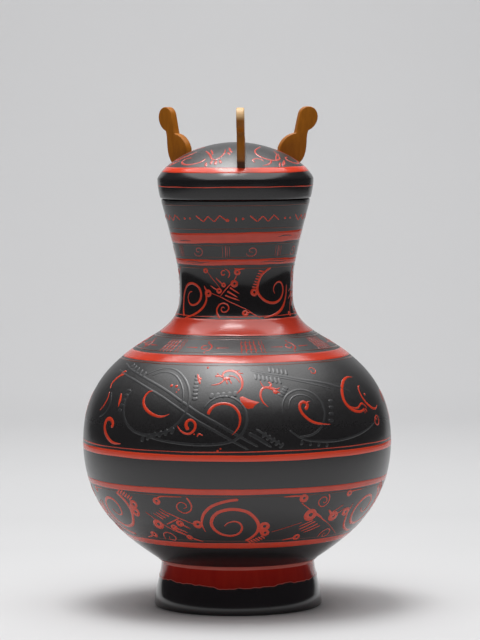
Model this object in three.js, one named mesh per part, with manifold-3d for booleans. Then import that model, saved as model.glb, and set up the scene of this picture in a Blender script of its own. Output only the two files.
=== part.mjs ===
// A lidded lacquer jar on a turned foot, after the classical bronze and lacquer form: wooden cores
// turned in sections and lapped together, a plug lid, and three S-shaped finials pegged to the lid.
// Millimetres, +Z up. The origin is the centre of the foot's flat underside.
import * as THREE from 'three';
import { mergeVertices } from 'three/addons/utils/BufferGeometryUtils.js';
import Module from 'manifold-3d';

// Driving dimensions of the jar body
const FOOT_RADIUS = 95.3;          // outside of the foot where it stands
const FOOT_HEIGHT = 52;            // foot ring, floor to the underside of the bowl
const ANKLE_RADIUS = 86.5;         // outside of the foot and of the bowl where they meet
const FOOT_WALL = 13;              // foot ring's thickness at the floor
const FOOT_EDGE = 2.5;             // rounding of the foot's outer bottom edge
const BOWL_HEIGHT = 136;           // foot to the widest place of the belly
const BELLY_RADIUS = 175;          // widest radius of the belly
const BELLY_HEIGHT = 112;          // widest place to the shoulder
const SHOULDER_RADIUS = 107.3;     // where the belly's round turns into the neck's sweep
const SWEEP_HEIGHT = 52;           // shoulder to the waist of the neck
const WAIST_RADIUS = 64;           // narrowest place of the neck
const FLARE_HEIGHT = 110.5;        // waist to the mouth
const MOUTH_RADIUS = 84.9;         // outside of the mouth
const MOUTH_EDGE = 1.6;            // rounding of the mouth's outer edge
const WALL = 9;                    // turned wall of the belly and the neck
const FLOOR_THICKNESS = 18;        // bottom of the bowl
const MOUTH_RIM = 14.9;            // width of the mouth ring's top

// Joints between the turned sections
const LAP_DEPTH = 11;              // depth of the half laps
const NECK_JOINT_RISE = 30;        // shoulder to the joint of the neck
const MOUTH_RING_HEIGHT = 12.5;
const MOUTH_LAP = 6;               // height of the neck's collar inside the mouth ring
const SPIGOT_RADIUS = 66;          // spigot under the bowl, let into the foot ring
const SPIGOT_DEPTH = 8;
const FLOOR_HOLE = 48;             // turning hole in the bowl's bottom, closed by the floor disc
const FLOOR_RABBET = 6;            // step that carries the floor disc
const FLOOR_RABBET_DEPTH = 8;
const GLUE_GAP = 0.3;              // radial clearance of every lapped joint

// Driving dimensions of the lid
const LID_OVERHANG = 0.6;          // the lid's edge beyond the mouth
const LID_BULGE = 2.8;             // widest place of the lid beyond its edge
const LID_RIM_HEIGHT = 22.5;       // mouth to the joint of the dome
const LID_LAP = 8;                 // the dome sits this deep inside the rim ring
const LID_LAP_WIDTH = 10.3;        // rim ring's thickness round the dome
const DOME_SHOULDER = 10.7;        // width and height of the dome's rounded shoulder
const DOME_EDGE_HEIGHT = 14.2;
const DOME_RISE = 27.1;            // cap of the dome
const DOME_WALL = 10;
const PLUG_CLEARANCE = 0.6;        // plug ring in the mouth
const PLUG_WALL = 6;
const PLUG_DEPTH = 18.5;           // plug ring below the mouth

// Radii and heights that follow from them
const MOUTH_BORE = MOUTH_RADIUS - MOUTH_RIM;
const LID_EDGE_RADIUS = MOUTH_RADIUS + LID_OVERHANG;
const LID_RADIUS = LID_EDGE_RADIUS + LID_BULGE;
const DOME_EDGE_RADIUS = LID_RADIUS - DOME_SHOULDER;
const EQUATOR_Z = FOOT_HEIGHT + BOWL_HEIGHT;
const SHOULDER_Z = EQUATOR_Z + BELLY_HEIGHT;
const WAIST_Z = SHOULDER_Z + SWEEP_HEIGHT;
const MOUTH_Z = WAIST_Z + FLARE_HEIGHT;
const NECK_JOINT_Z = SHOULDER_Z + NECK_JOINT_RISE;
const MOUTH_JOINT_Z = MOUTH_Z - MOUTH_RING_HEIGHT;
const LID_JOINT_Z = MOUTH_Z + LID_RIM_HEIGHT;
const LID_LAP_Z = LID_JOINT_Z - LID_LAP;
const DOME_EDGE_Z = LID_JOINT_Z + DOME_EDGE_HEIGHT;
const DOME_TOP_Z = DOME_EDGE_Z + DOME_RISE;

// Finials and their bamboo pegs
const FINIAL_THICKNESS = 8.6;
const FINIAL_SIZE = 46;            // radial length of a finial
const FINIAL_HEIGHT = 66.7;        // above the dome at the finial's outer end
const FINIAL_ROOT = 9;             // the blade's blank reaches this far under the dome, and is cut to it
const FINIAL_INSET = 12.1;         // middle of a finial's base inside the edge of the dome's cap
const FINIAL_BASE_RADIUS = DOME_EDGE_RADIUS - FINIAL_INSET;
const FINIAL_CHAMFER = 0.7;
const PEG_RADIUS = 2.4;
const PEG_CLEARANCE = 0.3;
const PEG_LENGTH = 15;
const PEG_IN_DOME = 6.5;
const PEG_SPACING = 12;
// Each finial is set by hand: the bearing of its seat round the lid, and the bearing its blade faces,
// in degrees counted from the front (-Y) towards +X.
const FINIALS = [
  { name: 'finial_front', seat: 6, facing: -2 },
  { name: 'finial_right', seat: 113.5, facing: 108.5 },
  { name: 'finial_left', seat: -113.5, facing: -135 },
];

const SEGMENTS = 48;               // facets round every turned piece
const CAP_SEGMENTS = 96;           // facets of the sphere that fits the finials to the dome

const LACQUER = new THREE.MeshStandardMaterial({ color: 0x141213, roughness: 0.22, metalness: 0 });
const RED = new THREE.MeshStandardMaterial({ color: 0x8f1d12, roughness: 0.3, metalness: 0 });
const GOLD = new THREE.MeshStandardMaterial({ color: 0x8a4d12, roughness: 0.35, metalness: 0.15 });
const BAMBOO = new THREE.MeshStandardMaterial({ color: 0xb89a62, roughness: 0.7, metalness: 0 });

const jar = new THREE.Group();
const wasm = await Module();
wasm.setup();

// The outer profile of the body above the foot: four curves that run on from one another.
const point = (r, z) => new THREE.Vector2(r, z);
function curveBetween(from, to, fromHandle, toHandle) {
  const width = to.x - from.x;
  const height = to.y - from.y;
  return new THREE.CubicBezierCurve(
    from,
    point(from.x + width * fromHandle[0], from.y + height * fromHandle[1]),
    point(to.x - width * toHandle[0], to.y - height * toHandle[1]),
    to,
  );
}
const ankle = point(ANKLE_RADIUS, FOOT_HEIGHT);
const equator = point(BELLY_RADIUS, EQUATOR_Z);
const shoulder = point(SHOULDER_RADIUS, SHOULDER_Z);
const waist = point(WAIST_RADIUS, WAIST_Z);
const mouth = point(MOUTH_RADIUS, MOUTH_Z);
const bowlCurve = curveBetween(ankle, equator, [0.39, 0.176], [0, 0.582]);
const bellyCurve = curveBetween(equator, shoulder, [0, 0.52], [0.545, 0.204]);
const sweepCurve = curveBetween(shoulder, waist, [0.439, 0.227], [0, 0.563]);
const flareCurve = curveBetween(waist, mouth, [0, 0.24], [0.947, 0.647]);

// Every curve climbs, so the place where it passes a height is found by halving.
function shareAt(curve, z) {
  let low = 0;
  let high = 1;
  for (let i = 0; i < 40; i += 1) {
    const middle = (low + high) / 2;
    if (curve.getPoint(middle).y < z) low = middle;
    else high = middle;
  }
  return (low + high) / 2;
}
function curveAt(z) {
  if (z <= EQUATOR_Z) return bowlCurve;
  if (z <= SHOULDER_Z) return bellyCurve;
  if (z <= WAIST_Z) return sweepCurve;
  return flareCurve;
}
const outerRadius = (z) => curveAt(z).getPoint(shareAt(curveAt(z), z)).x;

// The inner profile lies one wall thickness inside the outer one, square to it.
function insideOf(curve, share) {
  const place = curve.getPoint(share);
  const along = curve.getTangent(share);
  return point(place.x - WALL * along.y, place.y + WALL * along.x);
}
function innerRadius(z) {
  const insideCurve = (curve) => ({ getPoint: (share) => insideOf(curve, share) });
  const fits = [bowlCurve, bellyCurve, sweepCurve, flareCurve].map(insideCurve)
    .find((curve) => curve.getPoint(1).y >= z);
  return fits.getPoint(shareAt(fits, z)).x;
}

// Points of one curve between two heights, and the matching points one wall further in.
function outside(curve, from, to, count) {
  const a = shareAt(curve, from);
  const b = shareAt(curve, to);
  return Array.from({ length: count + 1 }, (_, i) => curve.getPoint(a + (b - a) * i / count));
}
function inside(curve, from, to, count) {
  const points = Array.from({ length: count + 1 }, (_, i) => insideOf(curve, i / count));
  return points.filter((p) => p.y > from + 1.5 && p.y < to - 1.5);
}

// A turned piece: a closed profile of radius and height, listed up the outside and down the inside.
function turned(profile) {
  const closed = [...profile, profile[0].clone()];
  return new THREE.LatheGeometry(closed, SEGMENTS).rotateX(Math.PI / 2);
}
function addPiece(name, geometry, material, parent = jar) {
  const mesh = new THREE.Mesh(geometry, material);
  mesh.name = name;
  parent.add(mesh);
  return mesh;
}

// Booleans
function solidOf(geometry) {
  const bare = geometry.clone();
  bare.deleteAttribute('normal');
  bare.deleteAttribute('uv');
  const merged = mergeVertices(bare, 1e-4);
  return new wasm.Manifold(new wasm.Mesh({
    numProp: 3,
    vertProperties: new Float32Array(merged.attributes.position.array),
    triVerts: new Uint32Array(merged.index.array),
  }));
}
function geometryOf(solid) {
  const mesh = solid.getMesh();
  const geometry = new THREE.BufferGeometry();
  geometry.setAttribute('position', new THREE.BufferAttribute(new Float32Array(mesh.vertProperties), 3));
  geometry.setIndex(new THREE.BufferAttribute(new Uint32Array(mesh.triVerts), 1));
  return geometry;
}

// Foot ring: a flared ring, bored at the top for the bowl's spigot.
const footSlope = (FOOT_RADIUS - ANKLE_RADIUS) / FOOT_HEIGHT;
const footBore = SPIGOT_RADIUS + GLUE_GAP;
const footInside = FOOT_RADIUS - FOOT_WALL;
addPiece('foot_ring', turned([
  point(FOOT_RADIUS - FOOT_EDGE, 0),
  point(FOOT_RADIUS - FOOT_EDGE * 0.25, FOOT_EDGE * 0.4),
  point(FOOT_RADIUS - footSlope * FOOT_EDGE * 1.5, FOOT_EDGE * 1.5),
  point(ANKLE_RADIUS + footSlope * FOOT_HEIGHT * 0.4, FOOT_HEIGHT * 0.5),
  point(ANKLE_RADIUS, FOOT_HEIGHT),
  point(footBore, FOOT_HEIGHT),
  point(footBore, FOOT_HEIGHT - SPIGOT_DEPTH * 1.5),
  point((footBore + footInside) / 2, FOOT_HEIGHT * 0.4),
  point(footInside, 0),
]), LACQUER);

// Bowl: the lower belly, with its spigot, its floor and a lap for the upper belly.
const floorTop = FOOT_HEIGHT - SPIGOT_DEPTH + FLOOR_THICKNESS;
const floorStep = floorTop - FLOOR_RABBET_DEPTH;
const spigotBottom = FOOT_HEIGHT - SPIGOT_DEPTH;
const lapRadius = BELLY_RADIUS - WALL / 2;
addPiece('belly_lower', turned([
  point(SPIGOT_RADIUS, spigotBottom),
  point(SPIGOT_RADIUS, FOOT_HEIGHT),
  ...outside(bowlCurve, FOOT_HEIGHT, EQUATOR_Z, 10),
  point(lapRadius, EQUATOR_Z),
  point(lapRadius, EQUATOR_Z - LAP_DEPTH),
  point(innerRadius(EQUATOR_Z - LAP_DEPTH), EQUATOR_Z - LAP_DEPTH),
  ...inside(bowlCurve, floorTop, EQUATOR_Z - LAP_DEPTH, 9).reverse(),
  point(innerRadius(floorTop), floorTop),
  point(FLOOR_HOLE + FLOOR_RABBET, floorTop),
  point(FLOOR_HOLE + FLOOR_RABBET, floorStep),
  point(FLOOR_HOLE, floorStep),
  point(FLOOR_HOLE, spigotBottom),
]), LACQUER);

// Floor disc, let into the bowl's bottom from inside.
addPiece('floor_disc', turned([
  point(0, spigotBottom),
  point(FLOOR_HOLE - GLUE_GAP, spigotBottom),
  point(FLOOR_HOLE - GLUE_GAP, floorStep),
  point(FLOOR_HOLE + FLOOR_RABBET - GLUE_GAP, floorStep),
  point(FLOOR_HOLE + FLOOR_RABBET - GLUE_GAP, floorTop),
  point(0, floorTop),
]), RED);

// Upper belly: a tongue below laps into the bowl, a collar above laps into the neck.
const collarRadius = outerRadius(NECK_JOINT_Z + LAP_DEPTH) - WALL / 2;
addPiece('belly_upper', turned([
  point(innerRadius(EQUATOR_Z - LAP_DEPTH), EQUATOR_Z - LAP_DEPTH),
  point(lapRadius - GLUE_GAP, EQUATOR_Z - LAP_DEPTH),
  point(lapRadius - GLUE_GAP, EQUATOR_Z),
  ...outside(bellyCurve, EQUATOR_Z, SHOULDER_Z, 8),
  ...outside(sweepCurve, SHOULDER_Z, NECK_JOINT_Z, 4).slice(1),
  point(collarRadius, NECK_JOINT_Z),
  point(collarRadius, NECK_JOINT_Z + LAP_DEPTH),
  point(innerRadius(NECK_JOINT_Z + LAP_DEPTH), NECK_JOINT_Z + LAP_DEPTH),
  ...inside(sweepCurve, SHOULDER_Z - WALL, NECK_JOINT_Z + LAP_DEPTH, 6).reverse(),
  ...inside(bellyCurve, EQUATOR_Z, SHOULDER_Z - WALL, 8).reverse(),
  point(innerRadius(EQUATOR_Z), EQUATOR_Z),
]), LACQUER);

// Neck, lapped over the shoulder's collar below and into the mouth ring above.
const mouthLapRadius = (outerRadius(MOUTH_JOINT_Z) + innerRadius(MOUTH_JOINT_Z)) / 2;
const mouthLapTop = MOUTH_JOINT_Z + MOUTH_LAP;
addPiece('neck', turned([
  point(collarRadius + GLUE_GAP, NECK_JOINT_Z),
  ...outside(sweepCurve, NECK_JOINT_Z, WAIST_Z, 3),
  ...outside(flareCurve, WAIST_Z, MOUTH_JOINT_Z, 6).slice(1),
  point(mouthLapRadius, MOUTH_JOINT_Z),
  point(mouthLapRadius, mouthLapTop),
  point(innerRadius(mouthLapTop), mouthLapTop),
  ...inside(flareCurve, WAIST_Z, mouthLapTop, 6).reverse(),
  point(innerRadius(NECK_JOINT_Z + LAP_DEPTH), NECK_JOINT_Z + LAP_DEPTH),
  point(collarRadius + GLUE_GAP, NECK_JOINT_Z + LAP_DEPTH),
]), LACQUER);

// Mouth ring: the lip, with the bore that takes the lid's plug.
addPiece('mouth_ring', turned([
  point(mouthLapRadius + GLUE_GAP, MOUTH_JOINT_Z),
  ...outside(flareCurve, MOUTH_JOINT_Z, MOUTH_Z - MOUTH_EDGE, 1),
  point(MOUTH_RADIUS - MOUTH_EDGE, MOUTH_Z),
  point(MOUTH_BORE, MOUTH_Z),
  point(MOUTH_BORE, mouthLapTop),
  point(mouthLapRadius + GLUE_GAP, mouthLapTop),
]), LACQUER);

// Lid
const plugRadius = MOUTH_BORE - PLUG_CLEARANCE;
const plugBottom = MOUTH_Z - PLUG_DEPTH;
addPiece('lid_plug_ring', turned([
  point(plugRadius - 1, plugBottom),
  point(plugRadius, plugBottom + 2),
  point(plugRadius, LID_LAP_Z),
  point(plugRadius - PLUG_WALL, LID_LAP_Z),
  point(plugRadius - PLUG_WALL, plugBottom),
]), RED);

const lidEdge = 1.6;
const domeSeat = LID_RADIUS - LID_LAP_WIDTH;
const rimSide = new THREE.QuadraticBezierCurve(
  point(LID_EDGE_RADIUS, MOUTH_Z + lidEdge * 1.4),
  point(LID_RADIUS, MOUTH_Z + LID_RIM_HEIGHT * 0.46),
  point(LID_RADIUS, LID_JOINT_Z),
);
addPiece('lid_rim', turned([
  point(plugRadius + GLUE_GAP, MOUTH_Z),
  point(LID_EDGE_RADIUS - lidEdge, MOUTH_Z),
  ...rimSide.getPoints(5),
  point(domeSeat + GLUE_GAP, LID_JOINT_Z),
  point(domeSeat + GLUE_GAP, LID_LAP_Z),
  point(plugRadius + GLUE_GAP, LID_LAP_Z),
]), LACQUER);

// The dome is a cap of a sphere on a rounded shoulder.
const capRise = DOME_TOP_Z - DOME_EDGE_Z;
const capRadius = (DOME_EDGE_RADIUS ** 2 + capRise ** 2) / (2 * capRise);
const capCentre = DOME_TOP_Z - capRadius;
const capHeight = (r) => capCentre + Math.sqrt(capRadius ** 2 - r * r);
const insideTop = DOME_TOP_Z - DOME_WALL;
const insideRise = insideTop - LID_LAP_Z;
const domeInside = plugRadius - PLUG_WALL - 1.4;
const insideCap = (domeInside ** 2 + insideRise ** 2) / (2 * insideRise);
function capArc(radius, centre, edge, count) {
  const full = Math.asin(edge / radius);
  const points = [];
  for (let i = 0; i <= count; i += 1) {
    const a = full * (1 - i / count);
    points.push(point(radius * Math.sin(a), centre + radius * Math.cos(a)));
  }
  return points;
}
const domeShoulder = new THREE.CubicBezierCurve(
  point(LID_RADIUS, LID_JOINT_Z),
  point(LID_RADIUS, LID_JOINT_Z + DOME_EDGE_HEIGHT * 0.17),
  point(DOME_EDGE_RADIUS + DOME_EDGE_HEIGHT * 0.29, DOME_EDGE_Z - DOME_EDGE_HEIGHT * 0.23),
  point(DOME_EDGE_RADIUS, DOME_EDGE_Z),
);
const domeGeometry = turned([
  point(domeInside, LID_LAP_Z),
  point(domeSeat, LID_LAP_Z),
  point(domeSeat, LID_JOINT_Z),
  ...domeShoulder.getPoints(4),
  ...capArc(capRadius, capCentre, DOME_EDGE_RADIUS, 8).slice(1),
  ...capArc(insideCap, insideTop - insideCap, domeInside, 6).reverse().slice(0, -1),
]);

// A finial's blade: its outline in the plane of the blade, u outwards from its own middle and h
// upwards from the dome. The outline is written for a blade 46 long and 66.7 high, and scaled.
function finialShape() {
  const across = FINIAL_SIZE / 46;
  const up = FINIAL_HEIGHT / 66.7;
  const base = capHeight(FINIAL_BASE_RADIUS + 12 * across);
  const at = (u, h) => [u * across, base + h * up];
  const root = (u) => [u * across, capHeight(FINIAL_BASE_RADIUS + u * across) - FINIAL_ROOT];
  const shape = new THREE.Shape();
  const curve = (a, b, c) => shape.bezierCurveTo(...at(...a), ...at(...b), ...at(...c));
  shape.moveTo(...root(-11.5));
  shape.lineTo(...root(12));
  shape.lineTo(...at(13.5, 3.2));
  curve([19, 7.7], [21, 16.7], [21.4, 26.7]);
  curve([21.6, 32.2], [22.2, 36.2], [23.6, 39.3]);
  curve([30.6, 42.1], [35, 48.5], [35, 55.1]);
  curve([35, 61.7], [30.4, 66.7], [24, 66.7]);
  curve([19.6, 66.7], [15.4, 64.1], [13.8, 59.5]);
  curve([11.8, 52.7], [10.4, 44.7], [8.4, 36.7]);
  curve([-1.6, 35.1], [-8.4, 28.7], [-11.3, 20.2]);
  shape.closePath();
  return shape;
}
function peg(radius, length) {
  return new THREE.CylinderGeometry(radius, radius, length, 12);
}
const seatSlope = Math.asin(FINIAL_BASE_RADIUS / capRadius);
const capSphere = solidOf(new THREE.SphereGeometry(capRadius + GLUE_GAP, CAP_SEGMENTS, CAP_SEGMENTS / 2)
  .rotateX(Math.PI / 2).translate(0, 0, capCentre));
let dome = solidOf(domeGeometry);
for (const { name, seat, facing } of FINIALS) {
  // Blade frame: x outwards along the blade, y across it, z up, turned to where the blade faces.
  const seatAngle = THREE.MathUtils.degToRad(seat - 90);
  const facingAngle = THREE.MathUtils.degToRad(facing - 90);
  const frame = new THREE.Matrix4().makeTranslation(
    FINIAL_BASE_RADIUS * Math.cos(seatAngle), FINIAL_BASE_RADIUS * Math.sin(seatAngle), 0,
  ).multiply(new THREE.Matrix4().makeRotationZ(facingAngle));
  const blade = new THREE.ExtrudeGeometry(finialShape(), {
    depth: FINIAL_THICKNESS - 2 * FINIAL_CHAMFER,
    bevelThickness: FINIAL_CHAMFER,
    bevelSize: FINIAL_CHAMFER,
    bevelOffset: -FINIAL_CHAMFER,
    bevelSegments: 1,
    curveSegments: 5,
  }).rotateX(Math.PI / 2).translate(0, FINIAL_THICKNESS / 2 - FINIAL_CHAMFER, 0).applyMatrix4(frame);
  let finial = solidOf(blade).subtract(capSphere);
  // Two bamboo pegs stand square to the dome under the blade.
  for (const side of [-1, 1]) {
    const slope = seatSlope + side * PEG_SPACING / 2 / capRadius;
    const middle = capRadius + PEG_LENGTH / 2 - PEG_IN_DOME;
    const place = new THREE.Matrix4().makeTranslation(
      middle * Math.sin(slope) - FINIAL_BASE_RADIUS, 0, capCentre + middle * Math.cos(slope),
    ).multiply(new THREE.Matrix4().makeRotationY(seatSlope))
      .multiply(new THREE.Matrix4().makeRotationX(Math.PI / 2));
    const pose = frame.clone().multiply(place);
    const hole = solidOf(peg(PEG_RADIUS + PEG_CLEARANCE, PEG_LENGTH + 2 * PEG_CLEARANCE).applyMatrix4(pose));
    finial = finial.subtract(hole);
    dome = dome.subtract(hole);
    const pegName = `${name}_peg_${side < 0 ? 'inner' : 'outer'}`;
    addPiece(pegName, peg(PEG_RADIUS, PEG_LENGTH).applyMatrix4(pose), BAMBOO);
  }
  addPiece(name, geometryOf(finial), GOLD);
}
addPiece('lid_dome', geometryOf(dome), LACQUER);

export default jar;
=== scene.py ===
"""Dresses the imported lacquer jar: smooth turned lacquer, painted ornament, ochre finials and a small studio."""

import bisect
import math

import bpy
from bpy.props import FloatProperty, FloatVectorProperty, IntProperty, PointerProperty
from mathutils import Matrix, Vector


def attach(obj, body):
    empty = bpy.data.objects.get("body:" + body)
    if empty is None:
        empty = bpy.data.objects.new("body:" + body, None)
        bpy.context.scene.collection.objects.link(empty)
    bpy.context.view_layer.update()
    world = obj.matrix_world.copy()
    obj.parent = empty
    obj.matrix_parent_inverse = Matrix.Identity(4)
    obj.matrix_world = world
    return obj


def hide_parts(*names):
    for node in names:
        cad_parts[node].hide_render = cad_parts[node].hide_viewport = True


bl_info = {
    "name": "Lacquer jar",
    "version": (1, 0, 0),
    "blender": (4, 5, 0),
    "location": "3D View > Sidebar > Jar",
    "description": "Builds a painted lacquer jar over its packed frame",
    "category": "Object",
}

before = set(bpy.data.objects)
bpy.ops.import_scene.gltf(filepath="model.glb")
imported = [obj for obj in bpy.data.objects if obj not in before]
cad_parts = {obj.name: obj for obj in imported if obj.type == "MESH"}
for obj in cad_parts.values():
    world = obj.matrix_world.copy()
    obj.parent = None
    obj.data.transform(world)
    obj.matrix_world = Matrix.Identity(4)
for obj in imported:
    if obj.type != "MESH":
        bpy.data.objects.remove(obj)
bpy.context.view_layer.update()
MM = 0.001

# Heights and radii of the body, in millimetres, as in the part's source
FOOT_HEIGHT = 52
EQUATOR_Z = 188
BELLY_RADIUS = 175
SHOULDER_Z = 300
WAIST_Z = 352
WAIST_RADIUS = 64
MOUTH_Z = 462.5
MOUTH_RADIUS = 84.9
LID_JOINT_Z = 485
LID_RADIUS = 88.3
DOME_EDGE_Z = 499.2
DOME_EDGE_RADIUS = 77.6
DOME_TOP_Z = 526.3
NECK_JOINT_Z = 330
MOUTH_JOINT_Z = 450
WALL = 9


def bezier(points, count):
    """Evenly spaced steps along one cubic curve, ends included."""
    out = []
    for i in range(count + 1):
        t = i / count
        s = 1 - t
        weights = (s ** 3, 3 * s * s * t, 3 * s * t * t, t ** 3)
        out.append(tuple(sum(w * p[k] for w, p in zip(weights, points)) for k in (0, 1)))
    return out


BOWL = bezier([(86.5, 52), (121, 76), (175, 108.9), (175, 188)], 60)
BELLY = bezier([(175, 188), (175, 246.3), (144.2, 277.1), (107.3, 300)], 60)
SWEEP = bezier([(107.3, 300), (88.3, 311.8), (64, 322.7), (64, 352)], 40)
FLARE = bezier([(64, 352), (64, 378.5), (65.1, 391), (84.9, 462.5)], 50)
FOOT = [(95.3, 3.8), (94, 15), (90.4, 30), (87.8, 42), (86.5, 52)]
LID_SIDE = bezier([(85.5, 464.7), (87, 471), (88.3, 477), (88.3, 485)], 12)
LID_SHOULDER = bezier([(88.3, 485), (88.3, 487.4), (81.7, 495.9), (77.6, 499.2)], 14)
CAP_RISE = DOME_TOP_Z - DOME_EDGE_Z
CAP_RADIUS = (DOME_EDGE_RADIUS ** 2 + CAP_RISE ** 2) / (2 * CAP_RISE)
CAP_CENTRE = DOME_TOP_Z - CAP_RADIUS
CAP = [(CAP_RADIUS * math.sin(a), CAP_CENTRE + CAP_RADIUS * math.cos(a))
       for a in (math.asin(DOME_EDGE_RADIUS / CAP_RADIUS) * (1 - i / 40) for i in range(41))]
OUTSIDE = FOOT + BOWL[1:] + BELLY[1:] + SWEEP[1:] + FLARE[1:] + LID_SIDE + LID_SHOULDER[1:] + CAP[1:]


def surface(z):
    """Outer radius and outward slope of the jar at a height."""
    for (r0, z0), (r1, z1) in zip(OUTSIDE, OUTSIDE[1:]):
        if z0 <= z <= z1 and z1 > z0:
            share = (z - z0) / (z1 - z0)
            length = math.hypot(r1 - r0, z1 - z0)
            return r0 + (r1 - r0) * share, (z1 - z0) / length, -(r1 - r0) / length
    return 0, 0, 1


def between(profile, low, high):
    return [p for p in profile if low <= p[1] <= high]


def inset(profile, wall):
    """The profile moved inwards, square to itself."""
    out = []
    for i, (r, z) in enumerate(profile):
        a = profile[max(0, i - 1)]
        b = profile[min(len(profile) - 1, i + 1)]
        length = math.hypot(b[0] - a[0], b[1] - a[1])
        out.append((r - wall * (b[1] - a[1]) / length, z + wall * (b[0] - a[0]) / length))
    return out


# Shader maths: a socket that can be added, multiplied and compared like a number
class Socket:
    def __init__(self, tree, value):
        self.tree = tree
        self.value = value

    def math(self, operation, *others):
        node = self.tree.nodes.new("ShaderNodeMath")
        node.operation = operation
        for place, item in enumerate((self,) + others):
            put(self.tree, node.inputs[place], item)
        return Socket(self.tree, node.outputs[0])

    def __add__(self, other):
        return self.math("ADD", other)

    __radd__ = __add__

    def __sub__(self, other):
        return self.math("SUBTRACT", other)

    def __rsub__(self, other):
        return Socket(self.tree, other).math("SUBTRACT", self)

    def __mul__(self, other):
        return self.math("MULTIPLY", other)

    __rmul__ = __mul__

    def __truediv__(self, other):
        return self.math("DIVIDE", other)

    def __gt__(self, other):
        return self.math("GREATER_THAN", other)

    def __lt__(self, other):
        return self.math("LESS_THAN", other)

    def maximum(self, other):
        return self.math("MAXIMUM", other)

    def clamped(self):
        return self.math("MAXIMUM", 0.0).math("MINIMUM", 1.0)


def put(tree, socket, item):
    value = item.value if isinstance(item, Socket) else item
    if isinstance(value, bpy.types.NodeSocket):
        tree.links.new(value, socket)
    else:
        socket.default_value = value


class Shader:
    """One material and its nodes."""

    def __init__(self, name):
        self.material = bpy.data.materials.new(name)
        self.material.use_nodes = True
        self.tree = self.material.node_tree
        self.tree.nodes.clear()

    def node(self, kind, settings=None, output=0, **sockets):
        node = self.tree.nodes.new(kind)
        for key, value in (settings or {}).items():
            setattr(node, key, value)
        for key, item in sockets.items():
            put(self.tree, node.inputs[key.replace("_", " ")], item)
        return Socket(self.tree, node.outputs[output])

    def place(self):
        return self.node("ShaderNodeTexCoord", output="Object")

    def axes(self):
        split = self.node("ShaderNodeSeparateXYZ", Vector=self.place()).value.node
        return [Socket(self.tree, out) for out in split.outputs]

    def noise(self, scale, detail=3.0, roughness=0.5, vector=None):
        return self.node("ShaderNodeTexNoise", Vector=vector or self.place(), Scale=scale,
                         Detail=detail, Roughness=roughness)

    def mix(self, share, a, b):
        node = self.tree.nodes.new("ShaderNodeMix")
        node.data_type = "RGBA"
        put(self.tree, node.inputs[0], share)
        put(self.tree, node.inputs[6], a)
        put(self.tree, node.inputs[7], b)
        return Socket(self.tree, node.outputs[2])

    def bump(self, height, strength, distance):
        return self.node("ShaderNodeBump", Height=height, Strength=strength, Distance=distance)

    def finish(self, **sockets):
        return self.show(self.node("ShaderNodeBsdfPrincipled", **sockets))

    def show(self, shader):
        out = self.tree.nodes.new("ShaderNodeOutputMaterial")
        self.tree.links.new(shader.value, out.inputs[0])
        return self.material


def rgba(colour):
    return (colour[0], colour[1], colour[2], 1.0)


# The red coat of the foot ends in a wavy edge
DRIP_Z = 33.0
DRIP_WAVES = ((2, -2.2, 1.57), (5, 0.9, -1.4), (11, 0.55, 0.5), (19, 0.35, 2.0), (37, 0.3, 0.7),
              (61, 0.18, 1.1))


def drip(turn):
    """Height of the wavy edge at a bearing."""
    return DRIP_Z + sum(size * math.sin(count * turn + phase) for count, size, phase in DRIP_WAVES)


def dust_and_sheen_zone(z):
    """Share of dull haze and painted sheen at a height: the shoulder and the upper belly."""
    return ((z - 0.196) * 16.0).clamped() * ((0.3135 - z) * 200.0).clamped()


def body_lacquer(colours):
    """Black lacquer: glossy on the foot and the neck, satin on the shoulder and the dome, where grey haze and a
    painted sheen lighten it.
    """
    s = Shader("jar_black")
    x, y, z = s.axes()
    turn = x.math("ARCTAN2", -1 * y)
    edge = DRIP_Z * MM + sum((turn * count + phase).math("SINE") * (size * MM)
                             for count, size, phase in DRIP_WAVES)
    on_foot = z < 52.6 * MM
    coated = on_foot * (z > edge)
    haze = s.noise(14.0, 5.0, 0.6)
    grain = s.noise(520.0, 4.0, 0.7)
    worn_and_sheen = dust_and_sheen_zone(z).maximum(((z - 0.495) * 300.0).clamped())
    plain = s.mix(haze, rgba(colours.black), rgba(colours.black_worn))
    # Grey grain over the shoulder, the upper belly and the dome: partly dust haze, partly a painted sheen
    grey = s.mix(((grain - 0.35) * 3.0).clamped(), rgba(colours.black), rgba(colours.dust_and_sheen))
    black = s.mix(worn_and_sheen * 0.75, plain, grey)
    run = s.node("ShaderNodeMapping", Vector=s.place(), Scale=(60.0, 60.0, 3.0))
    streaks = s.noise(2.0, 4.0, 0.6, run)
    crimson = s.mix(streaks, rgba(colours.crimson), rgba(colours.crimson_light))
    bare = s.mix(on_foot * streaks * 0.8, black, (0.03, 0.022, 0.028, 1))
    colour = s.mix(coated, bare, crimson)
    neck = ((z - 0.332) * 100.0).clamped() * ((0.43 - z) * 60.0).clamped()
    rough = 0.19 - neck * 0.12 + worn_and_sheen * (grain * 0.3 + 0.03) - on_foot * 0.1 + haze * 0.05
    relief = haze * 0.25 + grain * worn_and_sheen * 0.45 + streaks * on_foot * 0.5 + coated * 0.6
    return s.finish(Base_Color=colour, Roughness=rough, Normal=s.bump(relief, 0.3, 0.0005),
                    Specular_IOR_Level=0.7, Coat_Weight=worn_and_sheen * 0.35, Coat_Roughness=0.42)


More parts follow.
